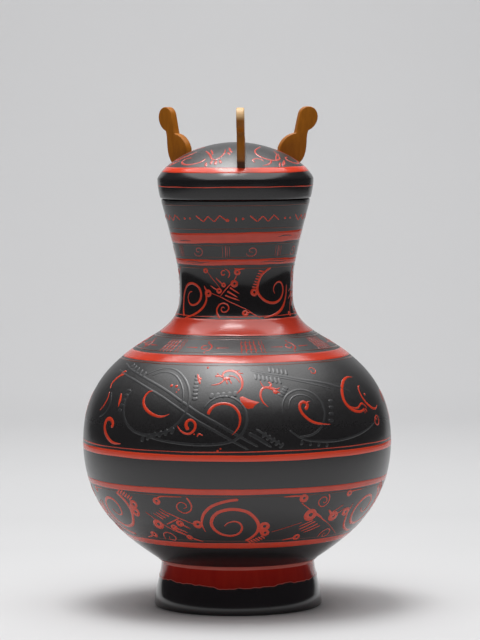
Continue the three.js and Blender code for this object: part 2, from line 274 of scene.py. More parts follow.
def paint(name, colour, dark):
    """Red paint laid on with a brush that ran round the jar, with painted shade from the shoulder band up to the
    collar and painted light on the equator bands.
    """
    s = Shader(name)
    brushed = s.node("ShaderNodeMapping", Vector=s.place(), Scale=(5.0, 5.0, 420.0))
    streaks = s.noise(2.0, 4.0, 0.65, brushed)
    mottle = s.noise(55.0, 4.0)
    x, y, z = s.axes()
    # Painted shade on the upward-facing reds from the shoulder band to the collar, painted light on the
    # sideways-facing equator bands
    collar_shade = ((z - 0.283) * 120.0).clamped() * ((0.331 - z) * 400.0).clamped()
    equator_light = ((z - 0.178) * 400.0).clamped() * ((0.192 - z) * 400.0).clamped()
    thickness_and_painted_light = (streaks * 0.7 + mottle * 0.5 - 0.1 + equator_light * 0.5).clamped() * (1.0 - collar_shade * 0.55)
    shade = s.mix(thickness_and_painted_light, rgba(dark), rgba(colour))
    return s.finish(Base_Color=shade, Roughness=mottle * 0.12 + 0.14, Specular_IOR_Level=0.62,
                    Normal=s.bump(streaks * 0.6 + s.noise(260.0) * 0.3, 0.25, 0.0004))


def dark_paint():
    """Black figures on the black ground, a little greyer and duller than it, and greyer still on the shoulder and
    the upper belly from a painted sheen.
    """
    s = Shader("jar_relief")
    x, y, z = s.axes()
    worn_and_sheen = dust_and_sheen_zone(z)
    # Lighter on the shoulder and the upper belly: a painted sheen
    share = s.noise(45.0, 5.0, 0.6) * (worn_and_sheen * 0.65 + 0.35)
    tone = s.mix(share, (0.014, 0.014, 0.015, 1), (0.06, 0.06, 0.063, 1))
    return s.finish(Base_Color=tone, Roughness=s.noise(60.0) * 0.1 + worn_and_sheen * 0.14 + 0.22,
                    Normal=s.bump(s.noise(350.0), 0.25, 0.0004), Specular_IOR_Level=0.7,
                    Coat_Weight=worn_and_sheen * 0.45, Coat_Roughness=0.42)


def ochre(colours):
    """Ochre lacquer over carved wood, with painted shade at the front finial's foot and a painted highlight on
    its top.
    """
    s = Shader("jar_ochre")
    grain = s.node("ShaderNodeMapping", Vector=s.place(), Scale=(90.0, 90.0, 22.0))
    mottled = s.mix(s.noise(3.0, 6.0, 0.65, grain), rgba(colours.ochre_dark), rgba(colours.ochre))
    x, y, z = s.axes()
    front = y < -0.03
    # Front finial only: painted shade at its foot, where it meets the dome, and a painted highlight on its top
    foot = ((0.5085 - z) * 300.0).clamped() * front
    tip_highlight = ((z - 0.5515) * 200.0).clamped() * front
    tip_highlit = s.mix(tip_highlight * 0.75, mottled, (0.72, 0.5, 0.27, 1))
    tone = s.mix(foot * 0.85, tip_highlit, (0.03, 0.012, 0.006, 1))
    return s.finish(Base_Color=tone, Roughness=s.noise(50.0) * 0.15 + 0.3,
                    Normal=s.bump(s.noise(3.0, 5.0, 0.6, grain), 0.35, 0.0005), Specular_IOR_Level=0.2)


def bamboo():
    s = Shader("jar_bamboo")
    fibres = s.node("ShaderNodeMapping", Vector=s.place(), Scale=(900.0, 900.0, 40.0))
    tone = s.mix(s.noise(1.0, 3.0, 0.5, fibres), (0.35, 0.24, 0.11, 1), (0.66, 0.52, 0.3, 1))
    return s.finish(Base_Color=tone, Roughness=0.65)


def only(thing):
    bpy.ops.object.select_all(action="DESELECT")
    thing.select_set(True)
    bpy.context.view_layer.objects.active = thing


def turned(name, profile, steps=192, angle=35):
    """A closed profile of radius and height, spun round the jar's axis."""
    bpy.ops.object.select_all(action="DESELECT")
    bpy.ops.mesh.primitive_circle_add(vertices=len(profile), radius=1, location=(0, 0, 0))
    thing = bpy.context.object
    thing.name = name
    thing.data.name = name
    for vertex, (r, z) in zip(thing.data.vertices, profile):
        vertex.co = (max(r, 0) * MM, 0, z * MM)
    bpy.ops.object.mode_set(mode="EDIT")
    bpy.ops.mesh.select_all(action="SELECT")
    bpy.ops.mesh.spin(steps=steps, angle=2 * math.pi, center=(0, 0, 0), axis=(0, 0, 1))
    bpy.ops.mesh.select_all(action="SELECT")
    bpy.ops.mesh.remove_doubles(threshold=1e-6)
    bpy.ops.mesh.normals_make_consistent(inside=False)
    bpy.ops.object.mode_set(mode="OBJECT")
    bpy.ops.object.shade_smooth_by_angle(angle=math.radians(angle))
    return thing


def settle(thing, body, slot, material, *nodes):
    thing.data.materials.clear()
    thing.data.materials.append(material)
    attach(thing, body)
    if nodes:
        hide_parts(*nodes)
    return thing


ARCS = [0.0]
for (r0, z0), (r1, z1) in zip(OUTSIDE, OUTSIDE[1:]):
    ARCS.append(ARCS[-1] + math.hypot(r1 - r0, z1 - z0))


def arc_of(z):
    """Length along the jar's outline from the foot up to a height."""
    for i, ((r0, z0), (r1, z1)) in enumerate(zip(OUTSIDE, OUTSIDE[1:])):
        if z0 <= z <= z1 and z1 > z0:
            return ARCS[i] + (ARCS[i + 1] - ARCS[i]) * (z - z0) / (z1 - z0)
    return ARCS[-1]


def along(arc):
    """Radius, height and outward slope of the jar at a length along its outline."""
    i = min(max(bisect.bisect_right(ARCS, arc) - 1, 0), len(OUTSIDE) - 2)
    (r0, z0), (r1, z1) = OUTSIDE[i], OUTSIDE[i + 1]
    step = ARCS[i + 1] - ARCS[i]
    share = (arc - ARCS[i]) / step
    return r0 + (r1 - r0) * share, z0 + (z1 - z0) * share, (z1 - z0) / step, -(r1 - r0) / step


def smooth(points, step=1.4):
    """A curve through the points, at even steps."""
    ends = [points[0], *points, points[-1]]
    out = []
    for before, a, b, after in zip(ends, ends[1:], ends[2:], ends[3:]):
        count = max(2, int(math.hypot(b[0] - a[0], b[1] - a[1]) / step) + 1)
        for i in range(count):
            t = i / count
            out.append(tuple(
                0.5 * (2 * a[k] + (b[k] - before[k]) * t
                       + (2 * before[k] - 5 * a[k] + 4 * b[k] - after[k]) * t * t
                       + (3 * a[k] - before[k] - 3 * b[k] + after[k]) * t ** 3) for k in (0, 1)))
    out.append(points[-1])
    return out


class Brush:
    """Paints closed, slightly raised strokes on a zone of the jar.

    A place is u, millimetres round the jar at the zone's own radius, from the front, and v,
    millimetres up along the surface from the zone's lower edge.
    """

    def __init__(self, low, radius, lift=0.22):
        self.start = arc_of(low)
        self.radius = radius
        self.lift = lift
        self.points = []
        self.faces = []
        self.shift = 0.0
        self.stretch = 1.0
        self.mirror = None

    def use(self, shift=0.0, stretch=1.0, mirror=None):
        """Where the next strokes go: mirror turns them upside down about half that height."""
        self.shift = shift
        self.stretch = stretch
        self.mirror = mirror
        return self

    def put(self, u, v, lift):
        if self.mirror is not None:
            v = self.mirror - v
        r, z, nr, nz = along(self.start + v)
        turn = (self.shift + u * self.stretch) / self.radius
        r += nr * lift
        self.points.append(Vector((r * math.sin(turn), -r * math.cos(turn), z + nz * lift)) * MM)

    def stroke(self, points, width, step=1.4):
        """A stroke through the points; width is one number, or the widths at start, middle and end."""
        path = smooth(points, step) if len(points) > 2 else smooth([points[0], points[-1]], step)
        first, middle, last = width if isinstance(width, tuple) else (width * 0.5, width, width * 0.5)
        count = len(path)
        start = len(self.points)
        lengths = [0.0]
        for (u0, v0), (u1, v1) in zip(path, path[1:]):
            lengths.append(lengths[-1] + math.hypot(u1 - u0, v1 - v0))
        for i, (u, v) in enumerate(path):
            a = path[max(0, i - 1)]
            b = path[min(count - 1, i + 1)]
            run = Vector((b[0] - a[0], b[1] - a[1]))
            run = run.normalized() if run.length > 1e-6 else Vector((1, 0))
            t = lengths[i] / lengths[-1]
            near = min(t, 1 - t) * 2
            end = first if t < 0.5 else last
            w = end + (middle - end) * (1 - (1 - near) ** 2)
            w *= 0.5 * min(1.0, 0.3 + (min(lengths[i], lengths[-1] - lengths[i]) / (0.5 * w + 0.05)) ** 0.5)
            side = (-run.y * w, run.x * w)
            self.put(u + side[0], v + side[1], -0.1)
            self.put(u + side[0] * 0.62, v + side[1] * 0.62, self.lift)
            self.put(u - side[0] * 0.62, v - side[1] * 0.62, self.lift)
            self.put(u - side[0], v - side[1], -0.1)
            self.put(u, v, -0.5)
        for i in range(count - 1):
            for k in range(5):
                c = start + 5 * i + k
                d = start + 5 * i + (k + 1) % 5
                self.faces.append((c, d, d + 5, c + 5))
        end = start + 5 * (count - 1)
        self.faces.append(tuple(start + k for k in (4, 3, 2, 1, 0)))
        self.faces.append(tuple(end + k for k in range(5)))

    def ring(self, low, high, tilt=0.0, sway=0.22, seed=1.0):
        """A band all the way round between two heights, with a hand's unsteadiness."""
        steps = 180
        first = arc_of(low) - self.start
        width = arc_of(high) - self.start - first
        columns = max(1, round(width / 2.4))
        margin = min(0.4, width * 0.3)
        start = len(self.points)
        for i in range(steps):
            turn = 2 * math.pi * i / steps
            u = turn * self.radius
            drift = tilt * math.sin(turn) + sway * (
                math.sin(3 * turn + seed) + 0.6 * math.sin(8 * turn + 2.1 * seed)
                + 0.4 * math.sin(17 * turn + 3.7 * seed))
            swell = 0.5 * min(sway, width * 0.3) * (
                math.sin(5 * turn + 1.3 * seed) + 0.7 * math.sin(13 * turn + 0.7 * seed))
            a = first + drift - swell
            b = first + width + drift + swell
            inner = [a + margin + (b - a - 2 * margin) * k / columns for k in range(columns + 1)]
            self.put(u, a, -0.1)
            for v in inner:
                self.put(u, v, self.lift)
            self.put(u, b, -0.1)
            for v in reversed(inner):
                self.put(u, v, -0.5)
        around = 2 * columns + 4
        for i in range(steps):
            for k in range(around):
                c = start + around * i
                d = start + around * ((i + 1) % steps)
                self.faces.append((c + k, c + (k + 1) % around, d + (k + 1) % around, d + k))

    def fill(self, outline):
        """A filled patch inside an outline that its middle can see all of."""
        u0 = sum(p[0] for p in outline) / len(outline)
        v0 = sum(p[1] for p in outline) / len(outline)
        start = len(self.points)
        count = len(outline)
        self.put(u0, v0, self.lift)
        self.put(u0, v0, -0.6)
        for u, v in outline:
            self.put(u0 + (u - u0) * 0.86, v0 + (v - v0) * 0.86, self.lift)
            self.put(u, v, -0.1)
        for k in range(count):
            a = start + 2 + 2 * k
            b = start + 2 + 2 * ((k + 1) % count)
            self.faces += [(start, a, b), (a, a + 1, b + 1, b), (start + 1, b + 1, a + 1)]

    def dot(self, u, v, radius):
        self.fill([(u + radius * math.cos(a), v + radius * math.sin(a))
                   for a in (2 * math.pi * k / 12 for k in range(12))])

    def bead(self, u, v, radius, tail=None):
        """An eye: a thick ring with a dark middle, and maybe a tail that runs off it."""
        ring = [(u + 0.66 * radius * math.cos(a), v + 0.66 * radius * math.sin(a))
                for a in (2 * math.pi * k / 12 + 0.4 for k in range(14))]
        self.stroke(ring, (radius * 0.6, radius * 0.85, radius * 0.6), 0.8)
        if tail:
            self.stroke([(u, v + 0.2), *tail], (radius * 0.9, radius * 0.5, 0.6))

    def comb(self, first, last, reach, count, width):
        """A row of short teeth from one place to another, all of the same reach."""
        for k in range(count):
            t = k / max(1, count - 1)
            u = first[0] + (last[0] - first[0]) * t
            v = first[1] + (last[1] - first[1]) * t
            self.stroke([(u, v), (u + reach[0] / 2, v + reach[1] / 2), (u + reach[0], v + reach[1])], width, 0.9)

    def many(self, strokes):
        for points, width in strokes:
            self.stroke(points, width)

    def mesh(self, name):
        data = bpy.data.meshes.new(name)
        data.from_pydata(self.points, [], self.faces)
        data.update()
        thing = bpy.data.objects.new(name, data)
        bpy.context.scene.collection.objects.link(thing)
        only(thing)
        bpy.ops.object.mode_set(mode="EDIT")
        bpy.ops.mesh.select_all(action="SELECT")
        bpy.ops.mesh.normals_make_consistent(inside=False)
        bpy.ops.object.mode_set(mode="OBJECT")
        bpy.ops.object.shade_smooth_by_angle(angle=math.radians(60))
        return thing


# Painted bands and lines: lower and upper height, and how far they climb towards the right
JAR_BANDS = [(80.0, 86.8, 0.0), (144.4, 151.0, 0.2), (181.9, 189.0, 0.4), (191.7, 192.9, 0.4),
             (285.4, 293.4, 0.0), (312.6, 330.0, 0.0), (332.2, 333.2, 0.0), (390.2, 396.8, 0.3),
             (415.2, 426.8, 1.4)]
LID_BANDS = [(477.0, 478.2, 0.0), (493.2, 499.3, 0.0)]
FADED_LINES = [(88.9, 89.8, 0.2), (141.7, 142.7, 0.3), (282.9, 284.0, 0.0), (295.3, 296.4, 0.0),
               (308.6, 309.6, 0.0), (310.6, 311.5, 0.0), (386.2, 387.4, 0.4), (399.2, 399.9, 0.6),
               (412.6, 413.4, 1.0), (430.6, 431.6, 0.8), (456.6, 457.6, 0.0)]
# Dark streaks that split the ends of the bands on the neck
BAND_GAPS = [
    ([(30, 7.4), (44, 8.2), (58, 7.0), (70, 7.8)], (0.4, 1.2, 0.5)),
    ([(40, 9.6), (52, 9.9), (66, 9.2)], (0.3, 0.8, 0.4)),
    ([(-70, 7.0), (-58, 8.4), (-46, 7.4), (-32, 8.0)], (0.5, 1.1, 0.3)),
    ([(-62, 6.0), (-50, 6.2), (-40, 5.9)], (0.3, 0.7, 0.3)),
    ([(50, 36.5), (60, 37.6), (72, 37.2)], (0.4, 1.5, 0.8)),
    ([(-74, 31.5), (-62, 32.4), (-54, 31.8)], (0.5, 1.1, 0.3)),
]
# The painted motifs, each stroke a path and its widths
COIL = [(-15, 21), (-11, 25.5), (-4, 28), (2.5, 25.5), (5.2, 19), (3, 11.5), (-3, 7), (-11, 6), (-20, 9),
        (-27, 16), (-29.5, 25), (-26.5, 34), (-20, 40.5), (-10, 44), (0, 44), (10, 41), (17, 35), (22, 27.5),
        (24.3, 19.5), (23, 11), (17.5, 3), (10, -3)]
COIL_ARM = [(1, 56.5), (-9, 55), (-20, 51.5), (-29, 46.5), (-36, 38.5), (-39.8, 29), (-40.5, 21), (-38, 12)]
CROSSING_RIGHT = [
    ([(40, 11), (58, 17), (76, 23.5)], (0.5, 0.8, 0.6)),
    ([(69, 50), (80, 41.5), (92, 33.5), (104, 25), (113, 19.5)], (1.0, 1.7, 1.0)),
    ([(113, 19.5), (124, 12), (136, 4), (146, -2)], (0.8, 0.8, 0.5)),
    ([(48, 58.5), (60, 58.8), (70, 58.5)], (0.8, 2.4, 2.0)),
    ([(90, 34), (96, 31), (102, 26.5)], (5.0, 3.0, 0.8)),
    ([(75, 12.5), (84, 17), (94, 23)], (0.7, 1.8, 2.4)),
    ([(79, 9.5), (90, 14), (99, 19.5)], (0.7, 1.8, 2.2)),
    ([(84, 7), (94, 11), (104, 16)], (0.7, 1.6, 2.0)),
    ([(74, 17), (82, 21), (90, 25)], (0.7, 1.6, 2.2)),
    ([(112, 33), (119, 37.5), (127, 42.5)], (1.6, 1.2, 0.6)),
    ([(121, 30.5), (127, 34), (133, 37.5)], (1.8, 1.2, 0.6)),
    ([(101, 58.5), (103.3, 52), (101, 45.5), (96, 43), (91, 46), (90, 51), (93.5, 55), (98, 54.5),
      (100, 50.5), (97.5, 47.5), (95.5, 49.5)], (1.8, 1.5, 1.0)),
    ([(134, 58.5), (143, 59), (152, 59.5)], (2.6, 1.4, 0.8)),
    ([(112, -3), (113.5, 4), (118.5, 8.5), (125, 7.5), (128.5, 2), (126.5, -3), (121, -4), (118, -0.5),
      (120.5, 3)], (1.2, 1.6, 1.0)),
    ([(58, -4), (66, -2.5), (73, -1)], (0.8, 2.0, 3.0)),
]
CROSSING_RIGHT_BEADS = [(71, 55.5, 5, None), (84, 33, 8, None), (118, 28, 6.8, [(112, 33), (107, 38)]),
                        (131, 56.5, 4, None), (77, 0, 5, None)]
CROSSING_LEFT = [
    ([(-50, 23), (-66, 31), (-80, 38), (-87, 43)], (1.2, 1.5, 0.8)),
    ([(-98, 36), (-92, 32), (-87, 28)], (0.7, 1.6, 2.4)),
    ([(-93, 37.5), (-88, 33.5), (-83, 30)], (0.7, 1.6, 2.4)),
    ([(-89, 40), (-84, 36), (-78, 32.5)], (0.7, 1.6, 2.4)),
    ([(-66, 31), (-75, 26), (-85, 21)], (1.8, 1.9, 1.4)),
    ([(-76, 13), (-70, 9.5), (-64, 6)], (1.8, 1.7, 0.7)),
    ([(-108, 36.5), (-96, 25.5), (-80, 13), (-66, 6), (-54, -2)], (0.7, 1.4, 1.8)),
    ([(-53, 58), (-50, 53), (-48.7, 47.5), (-51, 41.5), (-58, 38.3), (-64.5, 42), (-65.3, 47.5), (-61, 52),
      (-55.5, 50.5), (-54.5, 46), (-58, 44.5)], (2.2, 1.6, 1.0)),
    ([(-88, 55), (-82, 58), (-70, 58.5), (-58, 58.8)], (2.6, 1.3, 0.8)),
    ([(-99, -4), (-97.5, 4), (-91, 8), (-84, 5.5), (-81.5, -1), (-86, -5), (-92, -3), (-90, 1)],
     (1.2, 1.6, 1.0)),
    ([(-131, -4), (-124, -2), (-118, 0)], (0.8, 2.0, 3.0)),
]
CROSSING_LEFT_BEADS = [(-97, 20, 7, None), (-67, 23.5, 4.6, [(-61, 19), (-56, 16)]),
                       (-76.5, 17, 4.2, [(-68, 13), (-61, 9)]), (-88.5, 52, 4.6, None), (-114, 2.5, 5, None),
                       (-61, 2, 4, [(-52, -2), (-44, -5)])]
BELLY_STROKES = [
    ([(-104, 66), (-109, 65), (-112.5, 60), (-112.5, 53), (-108, 46), (-100, 40.5), (-90, 37), (-82, 37),
      (-75, 40)], (1.4, 4.0, 0.7)),
    ([(-154, 20), (-152.5, 24.5), (-156, 28.5), (-162, 29.5), (-167, 26), (-167.5, 19), (-163, 12), (-155, 6),
      (-147, 3.5), (-136, 3.5)], (4.8, 5.0, 0.7)),
    ([(-154, 60), (-151.5, 54), (-150, 44)], (1.6, 4.0, 0.8)),
    ([(-51.5, 23), (-54.5, 28), (-53, 33), (-48, 34), (-44.3, 29.5), (-45, 23.5), (-50, 19), (-56, 19.5),
      (-61, 23), (-64.5, 28)], (4.4, 3.0, 0.7)),
    ([(-42, 16), (-39.5, 19), (-35.5, 17)], (1.4, 1.8, 1.0)),
    ([(-51, 91), (-48.5, 86), (-46, 80), (-44.5, 77)], (1.4, 4.4, 0.8)),
    ([(-31, 40.5), (-29, 46), (-24, 51), (-16, 53.3), (-8, 52.3), (-2, 48.5), (2.5, 41.5), (3.5, 33), (1, 25),
      (-5, 18)], (4.2, 3.2, 0.6)),
    ([(-17, 86), (-17.5, 91), (-14, 95), (-7, 96.2), (0, 93.5), (5, 87), (7, 79), (5.5, 71.5), (0, 65)],
     (2.4, 4.0, 0.8)),
    ([(-10, 88.5), (-4, 88), (1, 84), (4, 79)], (1.6, 1.8, 1.0)),
    ([(-17, 84), (-12, 85), (-8, 84)], (3.6, 5.2, 3.0)),
    ([(-13, 83), (-12, 80), (-11, 77)], (2.6, 2.0, 0.8)),
    ([(-9, 83), (-7, 80), (-6, 77.5)], (2.6, 2.0, 0.8)),
    ([(-14, 86), (-17, 81), (-22, 77.5), (-31, 75.8)], (3.4, 2.2, 0.5)),
    ([(-17, 86), (-21, 88.5), (-27, 88)], (2.6, 3.0, 3.4)),
    ([(-23, 89), (-24, 91), (-25, 93)], (2.0, 1.4, 0.6)),
    ([(3, 91), (5, 92.5), (9, 91.5)], (2.0, 1.5, 0.5)),
    ([(0, 94), (2, 96), (5, 96)], (2.0, 1.5, 0.5)),
    ([(46, 69), (41, 71), (36, 72.5), (31, 71), (28, 66.5), (27.5, 60), (30, 53.5), (35, 48.5)],
     (5.0, 3.0, 0.6)),
    ([(33, 72), (30.5, 76), (29, 81)], (2.4, 1.4, 0.5)),
    ([(39, 72), (42, 76), (39, 79.5)], (3.0, 2.6, 2.0)),
    ([(43, 68), (46, 66.5), (48, 68)], (5.6, 6.2, 3.0)),
    ([(46, 70), (49, 70), (52, 71.5)], (2.6, 1.8, 0.6)),
    ([(46, 67), (49, 66), (51, 64.5)], (2.6, 1.8, 0.6)),
    ([(77, 44), (80, 47), (80.5, 51), (76, 53), (72, 50.5), (71, 45), (73.5, 39), (79, 33), (86, 28.8),
      (94, 27), (106, 25.5)], (4.4, 3.6, 0.6)),
    ([(80, 51), (82.5, 53), (85, 52.5)], (2.4, 1.4, 0.5)),
    ([(172, 78), (162, 79), (151, 76), (141.5, 69), (135.5, 60), (134, 51), (138, 43.5), (145, 38.5),
      (153, 36.5), (160, 36.8), (165, 39)], (0.6, 4.8, 2.4)),
    ([(140, 44), (148, 41), (155, 41.5), (161, 44.8), (165, 45), (169, 42), (170.5, 39.5)], (0.8, 2.4, 1.6)),
    ([(163, 38), (165, 36), (164, 33.5)], (2.0, 1.6, 0.6)),
    ([(166, 39), (169, 37), (169, 34.5)], (2.0, 1.6, 0.6)),
    ([(183, 26), (189, 29), (193, 24.5), (190, 19), (184.5, 19), (182, 23), (185, 26), (188.5, 24)],
     (1.2, 1.6, 1.0)),
    ([(101, 94), (107, 97), (111.5, 93), (108, 88.5), (103, 89.5), (104, 93)], (1.2, 1.5, 1.0)),
    ([(-172, 84), (-179, 82), (-185, 76), (-187, 69), (-183, 64)], (3.0, 3.8, 1.0)),
    ([(-180, 84), (-177, 88), (-172, 88)], (1.6, 2.8, 1.6)),
    ([(-181, 60), (-178, 52), (-181, 43), (-187, 37)], (0.8, 2.2, 0.8)),
]
BELLY_DOTS = [(-81, 74, 1.9), (-74, 73.5, 1.9), (-70, 69, 1.1), (-72, 66, 0.9), (-45, 18.5, 0.9),
              (-39, 100.5, 1.7), (-46, 84, 2.2), (178, 55, 1.6), (-20, 0.5, 1.3), (-17, 3, 1.0)]
PATCH = [(3, 61), (6.5, 62), (16, 57.5), (26, 54.5), (20, 50.5), (18, 47.5), (12, 46.5), (4, 51)]
RELIEF_LINES = [
    ([(-192, 99), (-165, 92), (-140, 86), (-110, 77), (-85, 67), (-60, 53), (-40, 41), (-20, 30), (0, 18),
      (22, 5)], (3.0, 4.2, 2.6)),
    ([(-194, 89), (-165, 83), (-140, 77.5), (-112, 68.5), (-88, 59), (-64, 46), (-44, 34), (-24, 23), (-4, 11),
      (12, 2)], (3.0, 3.8, 2.4)),
    ([(18, 97), (38, 92), (60, 87.5), (82, 81.5), (104, 77), (130, 69.5), (152, 60)], (3.0, 4.2, 2.2)),
    ([(26, 90.5), (46, 87), (68, 82), (92, 75.5), (120, 67)], (2.4, 2.8, 1.6)),
    ([(-128, 86), (-116, 93), (-102, 97.5), (-88, 97), (-75, 91), (-64, 81), (-57, 69), (-54.5, 57), (-56, 44),
      (-63, 31), (-76, 21), (-94, 16), (-112, 17), (-128, 25), (-138, 38), (-141, 52), (-136, 66)],
     (2.0, 3.8, 2.0)),
    ([(-116, 86), (-106, 91), (-94, 92), (-82, 88.5), (-72, 80.5), (-65, 70), (-62, 58), (-62.5, 47)],
     (1.8, 3.0, 1.8)),
    ([(-36, 47), (-31, 54.5), (-23, 60), (-14, 61.8), (-4, 59.8), (5, 53), (10, 43), (10.5, 31), (5, 19),
      (-6, 11), (-26, 7.5), (-52, 7.5), (-84, 11), (-116, 18)], (2.6, 3.6, 2.0)),
    ([(50, 40), (52, 52), (59, 62), (71, 67.5), (84, 66.5), (95, 59.5), (101, 48), (100.5, 36), (94, 24),
      (82, 16), (66, 14)], (2.0, 3.4, 2.0)),
    ([(58, 46), (61, 55), (68, 60.5), (77, 61.5), (86, 57.5), (92, 50)], (1.6, 2.4, 1.4)),
    ([(56, 22), (72, 11.5), (98, 7.5), (126, 8.5), (156, 14), (180, 22)], (2.0, 3.4, 1.6)),
    ([(12, 20), (24, 13), (36, 4)], (3.6, 5.0, 2.0)),
    ([(20, 24), (34, 15), (48, 5)], (2.0, 2.6, 1.4)),
    ([(-176, 60), (-168, 48), (-172, 36), (-184, 30)], (2.0, 3.0, 1.6)),
]
# Rows of rounded petals beside the black scrolls: first and last root, reach, count, width
RELIEF_TEETH = [((-53.5, 88), (-51, 58), (6.5, 0.6), 7, 4.0), ((-29.5, 58.5), (-2, 61), (1.6, 7.4), 5, 4.8),
                ((24, 92), (54, 85), (0.6, -9), 7, 3.6), ((44, 92.5), (66, 88), (1.6, 8.5), 5, 3.4),
                ((54, 60), (62, 69), (-5.5, 4), 4, 3.6), ((-68, 25), (-104, 15), (-2.5, -7), 6, 3.6),
                ((26, 15), (44, 3), (5, 5), 5, 3.0), ((-142, 40), (-139, 64), (-7, 1), 5, 3.6),
                ((-132, 84), (-170, 94), (1.5, 7), 5, 3.4), ((104, 30), (110, 52), (7, 0), 4, 3.4),
                ((70, 10), (100, 6), (-2, -5), 4, 3.0)]
NECK_LEFT = [
    ([(-57, 29.5), (-60.5, 29), (-64, 26), (-65, 21), (-62, 16.5), (-57, 14.5), (-51, 15.3), (-46, 18.5),
      (-43.2, 23.5), (-43, 29), (-46, 34.5), (-52, 38), (-58, 38.8), (-65, 37), (-71, 32), (-75, 24),
      (-75.5, 15), (-72, 7), (-66, 1)], (1.0, 3.2, 3.0)),
    ([(-36, 27), (-35.5, 21), (-38.5, 14), (-43.5, 8.5), (-50, 4), (-57, 1), (-63, -1)], (2.0, 3.2, 2.6)),
    ([(-29, 28.5), (-19, 25), (-8, 19.5), (4, 14), (14, 9), (20, 4)], (0.7, 1.1, 0.6)),
    ([(-33, 53), (-28, 46), (-22, 39), (-18, 34)], (0.5, 0.7, 0.5)),
    ([(-30, 37), (-25, 34), (-21.5, 32)], (0.6, 1.4, 1.6)),
    ([(-23, 46), (-19, 42), (-15, 38.5)], (0.6, 1.3, 1.4)),
    ([(-18, 25.5), (-14, 30.5), (-9, 36), (-3, 42), (1, 49)], (0.9, 1.4, 0.8)),
    ([(-7, 35), (-3, 32.5), (4, 28)], (2.6, 1.6, 0.5)),
    ([(-10, 31), (-4, 27.5), (2, 24)], (2.8, 1.8, 0.5)),
    ([(-12.5, 26.5), (-5, 23.5), (4, 20.5)], (2.2, 1.6, 0.5)),
    ([(-17.5, 0), (-21.5, 7), (-21.5, 12), (-18.5, 16.3), (-14, 17.5), (-9.7, 15.5), (-8.3, 11.5), (-11, 8),
      (-15, 7.5), (-17, 10.5), (-15.3, 13.3), (-12.8, 12)], (2.4, 1.7, 1.0)),
    ([(-9, 46), (-7, 50), (-8.5, 54), (-13, 56.5)], (1.0, 1.5, 0.8)),
    ([(-12, 50.5), (-15, 49), (-16.5, 52), (-14, 54.5), (-11.5, 53.5)], (1.4, 1.4, 0.8)),
    ([(-2, 56.5), (3, 56), (10, 56.5)], (0.8, 2.4, 0.8)),
    ([(10, 5), (15, 7), (20, 4), (26, 0)], (2.4, 1.4, 0.8)),
]
NECK_LEFT_BEADS = [(-33, 28.5, 4.3, [(-37, 34), (-38, 37)]), (-19.5, 31.5, 3.3, None), (-14, 38, 2.6, None),
                   (-1.8, 39.5, 4.2, None), (1.5, 52.5, 3.6, None), (10, 6, 3.6, None), (-35, 54, 3.0, None)]
NECK_RIGHT = [
    ([(41, 56.5), (36, 54), (30, 49), (26.5, 42), (24.8, 35), (25.5, 29), (29.5, 23.5), (36, 19), (44, 16.8),
      (52, 17.8), (58.5, 21.5), (62.3, 27.5), (62.3, 34), (58.5, 39), (53, 40), (48.3, 37), (46.3, 32),
      (48.5, 27)], (2.6, 3.2, 0.8)),
    ([(30, 0), (42, 2.5), (52, 6), (60, 11), (66, 17.5), (69.5, 26), (70, 36)], (1.2, 3.4, 1.4)),
]
DOME_STROKES = [
    ([(-53, 43), (-60, 42), (-63, 37), (-58, 32), (-50, 30), (-42, 31.5), (-35, 36), (-33, 42)],
     (1.8, 3.2, 2.4)),
    ([(-46, 60), (-38, 56), (-31, 50), (-26, 43), (-21, 39)], (1.8, 3.4, 2.4)),
    ([(-40, 64), (-33, 58), (-28, 51)], (1.2, 3.0, 1.2)),
    ([(-29, 35), (-28, 31), (-27, 27)], (1.0, 3.2, 2.4)),
    ([(-24, 39), (-23.5, 35), (-23, 31)], (1.0, 3.6, 2.4)),
    ([(-19.5, 39), (-19, 35), (-18.5, 30)], (1.2, 4.0, 2.6)),
    ([(-16, 40), (-14.5, 36), (-13.5, 33)], (1.0, 3.6, 2.4)),
    ([(-22, 40), (-18, 43), (-15, 50), (-14, 58), (-16, 66)], (2.2, 2.8, 1.2)),
    ([(-11, 71), (-8.5, 66), (-8, 61)], (1.2, 4.4, 3.0)),
    ([(-9, 63), (-6, 60), (-4, 56)], (1.2, 4.4, 1.6)),
    ([(-10, 58), (-8, 54), (-6, 51)], (1.2, 4.0, 1.6)),
    ([(54, 72), (41, 68), (31, 62), (27, 54), (30, 45), (36, 39.5), (44, 37.5), (52, 40), (58, 47), (64, 52)],
     (1.6, 3.2, 1.4)),
    ([(39, 39), (36, 34), (31, 30), (25, 28)], (2.2, 2.8, 1.2)),
    ([(19, 34), (18, 39), (22.5, 42), (27.5, 40.5), (29, 36)], (2.0, 2.8, 1.2)),
    ([(45, 38), (50, 44), (58, 50), (64, 58)], (2.0, 2.4, 1.2)),
    ([(42, 25), (44, 29), (47, 33)], (1.0, 3.2, 1.8)),
    ([(46, 26), (49, 30), (52, 34)], (1.0, 3.2, 1.8)),
    ([(50, 29), (53, 33), (56, 37)], (1.0, 3.0, 1.8)),
]


class JarSizes(bpy.types.PropertyGroup):
    segments: IntProperty(name="Segments", description="Facets round a turned piece", default=192, min=48)
    stroke: FloatProperty(name="Stroke width", description="Width of a brush stroke, in millimetres",
                          default=1.1, min=0.3)


